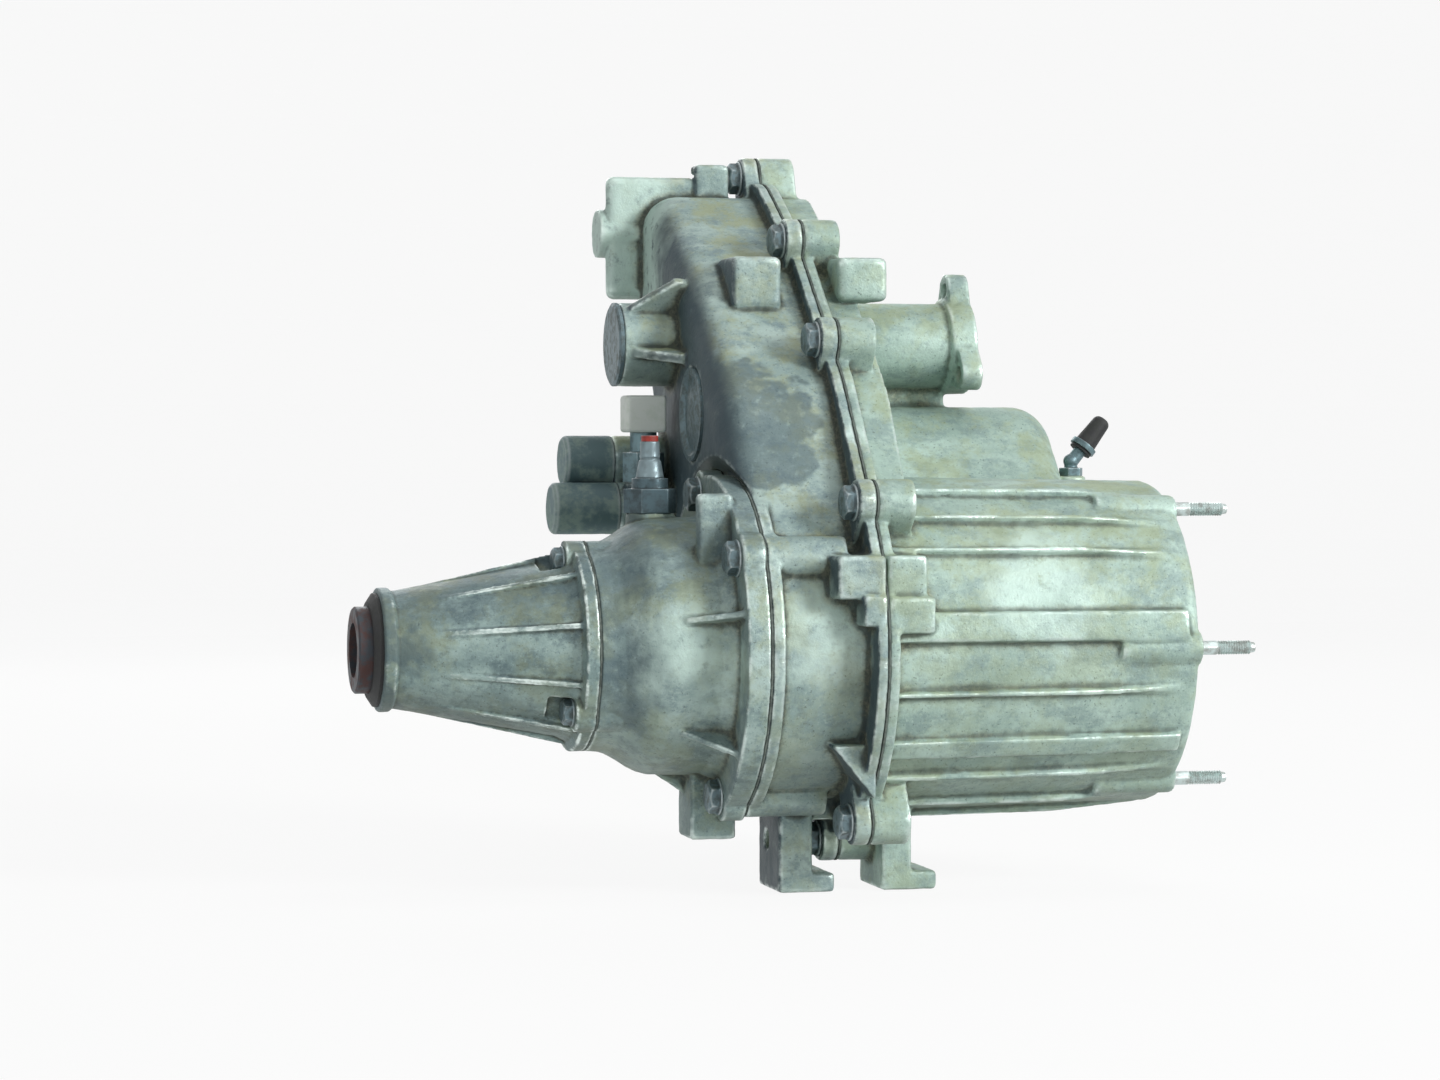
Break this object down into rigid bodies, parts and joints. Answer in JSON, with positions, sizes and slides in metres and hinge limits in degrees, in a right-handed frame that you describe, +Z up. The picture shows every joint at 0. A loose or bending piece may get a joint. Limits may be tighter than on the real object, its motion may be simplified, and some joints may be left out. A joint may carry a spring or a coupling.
{
  "type": "transfer case",
  "caption": "Vehicle transfer case in a ribbed cast housing, with an input shaft, planetary range set, gear train to a front output and a tapered tail for the rear output.",
  "frame": {"origin": "middle of the gearbox face, on the main shaft line", "axes": "+X along the shafts toward the gearbox, +Y toward the side with the front output, +Z up"},
  "size_m": [0.503, 0.348, 0.435],
  "materials": {
    "cast_alloy": "weathered die-cast alloy with grime",
    "gasket_fibre": "thin dark gasket sheet",
    "bolt_steel": "dull zinc-plated steel",
    "stud_steel": "bright plated stud",
    "black_steel": "black-finished pressed steel",
    "plated_steel": "plated fitting",
    "red_plastic": "faded red plastic",
    "pale_plastic": "aged pale plastic",
    "black_rubber": "moulded black rubber",
    "bushing_bronze": "turned bearing bronze",
    "bearing_steel": "ground bearing steel",
    "gear_steel": "hardened, ground gear steel",
    "shaft_steel": "turned and ground shaft steel",
    "fork_iron": "cast iron with machined pads"
  },
  "bodies": {
    "case": {"rear_case": "cast_alloy", "front_case": "cast_alloy", "bell_cover": "cast_alloy", "tail_housing": "cast_alloy", "case_gasket": "gasket_fibre", "bell_gasket": "gasket_fibre", "tail_gasket": "gasket_fibre", "case_bolts": "bolt_steel", "bell_bolts": "bolt_steel", "tail_bolts": "bolt_steel", "gearbox_studs": "stud_steel", "core_plug": "bolt_steel", "front_shaft_cap": "bolt_steel", "rail_caps": "black_steel", "speed_sensor": "plated_steel", "sensor_ring": "red_plastic", "indicator_switch": "plated_steel", "switch_connector": "pale_plastic", "breather_fitting": "plated_steel", "breather_clip": "plated_steel", "breather_cap": "black_rubber", "drain_plug": "bolt_steel", "fill_plug": "bolt_steel", "input_seal": "black_rubber", "output_seal": "black_rubber", "front_output_seal": "black_rubber", "tail_bushing": "bushing_bronze", "ring_gear": "gear_steel", "input_bearing_outer": "bearing_steel", "mid_bearing_outer": "bearing_steel", "rear_bearing_outer": "bearing_steel", "front_bearings_outer": "bearing_steel", "idler_shaft": "shaft_steel"},
    "input": {"input_shaft": "shaft_steel", "input_bearing_inner": "bearing_steel"},
    "carrier": {"planet_carrier": "gear_steel", "planet_pins": "bearing_steel", "low_range_ring": "gear_steel"},
    "planet_1": {"planet_gear_1": "gear_steel"},
    "planet_2": {"planet_gear_2": "gear_steel"},
    "planet_3": {"planet_gear_3": "gear_steel"},
    "main": {"main_shaft": "shaft_steel", "mode_hub": "gear_steel", "mid_bearing_inner": "bearing_steel", "rear_bearing_inner": "bearing_steel", "speed_ring": "gear_steel"},
    "range_hub": {"range_hub": "gear_steel"},
    "range_shift": {"range_rail": "shaft_steel", "range_fork": "fork_iron"},
    "mode_sleeve": {"mode_sleeve": "gear_steel"},
    "mode_shift": {"mode_rail": "shaft_steel", "mode_fork": "fork_iron"},
    "drive": {"drive_gear": "gear_steel"},
    "idler": {"idler_gear": "gear_steel"},
    "front_output": {"front_shaft": "shaft_steel", "front_gear": "gear_steel", "front_bearings_inner": "bearing_steel"}
  },
  "joints": [
    {"name": "main_spin", "type": "hinge", "parent": "case", "child": "main", "pos_m": [-0.25, 0, 0], "axis": [1, 0, 0], "continuous": true},
    {"name": "input_spin", "type": "hinge", "parent": "case", "child": "input", "pos_m": [-0.05, 0, 0], "axis": [1, 0, 0], "continuous": true},
    {"name": "carrier_spin", "type": "hinge", "parent": "case", "child": "carrier", "pos_m": [-0.069, 0, 0], "axis": [1, 0, 0], "continuous": true},
    {"name": "planet_1_spin", "type": "hinge", "parent": "carrier", "child": "planet_1", "pos_m": [-0.069, 0.048, 0], "axis": [1, 0, 0], "continuous": true},
    {"name": "planet_2_spin", "type": "hinge", "parent": "carrier", "child": "planet_2", "pos_m": [-0.069, -0.024, 0.04157], "axis": [1, 0, 0], "continuous": true},
    {"name": "planet_3_spin", "type": "hinge", "parent": "carrier", "child": "planet_3", "pos_m": [-0.069, -0.024, -0.04157], "axis": [1, 0, 0], "continuous": true},
    {"name": "drive_spin", "type": "hinge", "parent": "case", "child": "drive", "pos_m": [-0.185, 0, 0], "axis": [1, 0, 0], "continuous": true},
    {"name": "idler_spin", "type": "hinge", "parent": "case", "child": "idler", "pos_m": [-0.185, 0.0473, 0.0923], "axis": [1, 0, 0], "continuous": true},
    {"name": "front_spin", "type": "hinge", "parent": "case", "child": "front_output", "pos_m": [-0.185, 0.11, 0.175], "axis": [1, 0, 0], "continuous": true},
    {"name": "range_shift_slide", "type": "slide", "parent": "case", "child": "range_shift", "axis": [-1, 0, 0], "range_m": [0, 0.011]},
    {"name": "range_hub_slide", "type": "slide", "parent": "main", "child": "range_hub", "axis": [-1, 0, 0], "range_m": [0, 0.011]},
    {"name": "mode_shift_slide", "type": "slide", "parent": "case", "child": "mode_shift", "axis": [-1, 0, 0], "range_m": [0, 0.007]},
    {"name": "mode_sleeve_slide", "type": "slide", "parent": "main", "child": "mode_sleeve", "axis": [-1, 0, 0], "range_m": [0, 0.007]}
  ],
  "couplings": [
    {"joint": "input_spin", "follows": "main_spin", "ratio": 1},
    {"joint": "carrier_spin", "follows": "main_spin", "ratio": 0.3125},
    {"joint": "planet_1_spin", "follows": "main_spin", "ratio": -1.1458},
    {"joint": "planet_2_spin", "follows": "main_spin", "ratio": -1.1458},
    {"joint": "planet_3_spin", "follows": "main_spin", "ratio": -1.1458},
    {"joint": "drive_spin", "follows": "main_spin", "ratio": 1},
    {"joint": "idler_spin", "follows": "main_spin", "ratio": -0.66},
    {"joint": "front_spin", "follows": "main_spin", "ratio": 1},
    {"joint": "range_hub_slide", "follows": "range_shift_slide", "ratio": 1},
    {"joint": "mode_sleeve_slide", "follows": "mode_shift_slide", "ratio": 1}
  ]
}
